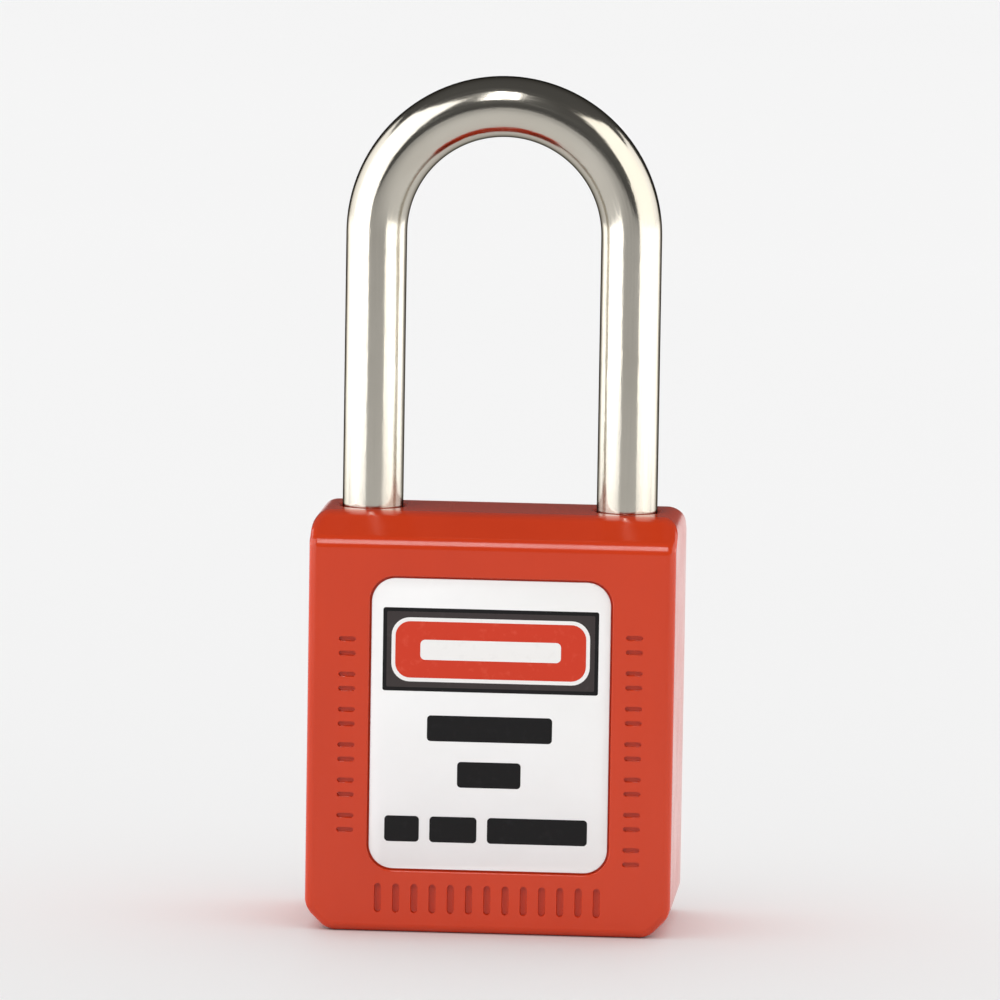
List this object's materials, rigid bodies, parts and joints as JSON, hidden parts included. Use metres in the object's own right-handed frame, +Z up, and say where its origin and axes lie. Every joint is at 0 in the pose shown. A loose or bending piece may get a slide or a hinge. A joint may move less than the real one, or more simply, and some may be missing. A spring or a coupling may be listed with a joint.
{
  "type": "keyed safety padlock",
  "caption": "Safety padlock with a rounded block body in moulded plastic, a tall round steel shackle and a pin cylinder in its base.",
  "frame": {"origin": "middle of the flat base, in the plane of the base", "axes": "+Z up from the base through the shackle; +X towards the toe leg, which comes free; -Y out of the front label"},
  "size_m": [0.0382, 0.02, 0.0886],
  "materials": {
    "body_red": "moulded gloss",
    "frame_nylon": "moulded matt",
    "shackle_steel": "polished",
    "cylinder_brass": "machined",
    "plug_brass": "machined",
    "key_pin_brass": "turned",
    "driver_steel": "turned",
    "ball_steel": "ground",
    "actuator_zinc": "die cast",
    "spring_steel": "drawn wire",
    "pin_steel": "ground",
    "label_vinyl": "satin film"
  },
  "bodies": {
    "body": {"body_shell": "body_red", "bottom_cover": "body_red", "lock_frame": "frame_nylon", "cylinder_shell": "cylinder_brass", "chamber_cover": "cylinder_brass", "retaining_pin": "pin_steel", "cover_pin_left": "pin_steel", "cover_pin_right": "pin_steel", "shackle_spring": "spring_steel", "front_label": "label_vinyl", "rear_label": "label_vinyl", "driver_pin_1": "driver_steel", "driver_pin_2": "driver_steel", "driver_pin_3": "driver_steel", "driver_pin_4": "driver_steel", "driver_pin_5": "driver_steel", "driver_pin_6": "driver_steel", "pin_spring_1": "spring_steel", "pin_spring_2": "spring_steel", "pin_spring_3": "spring_steel", "pin_spring_4": "spring_steel", "pin_spring_5": "spring_steel", "pin_spring_6": "spring_steel"},
    "shackle": {"shackle": "shackle_steel"},
    "plug": {"plug": "plug_brass", "plug_clip": "spring_steel", "actuator": "actuator_zinc", "key_pin_1": "key_pin_brass", "key_pin_2": "key_pin_brass", "key_pin_3": "key_pin_brass", "key_pin_4": "key_pin_brass", "key_pin_5": "key_pin_brass", "key_pin_6": "key_pin_brass"},
    "ball": {"locking_ball": "ball_steel"}
  },
  "joints": [
    {"name": "shackle_lift", "type": "slide", "parent": "body", "child": "shackle", "axis": [0, 0, 1], "range_m": [0, 0.017], "deforming": ["shackle_spring"]},
    {"name": "plug_turn", "type": "hinge", "parent": "body", "child": "plug", "pos_m": [0, 0, 0], "axis": [0, 0, 1], "range_deg": [-90, 0]},
    {"name": "ball_slide", "type": "slide", "parent": "body", "child": "ball", "axis": [1, 0, 0], "range_m": [0, 0.00145]}
  ],
  "couplings": [
    {"joint": "ball_slide", "follows": "plug_turn", "m_per_rad": -0.00091993}
  ]
}
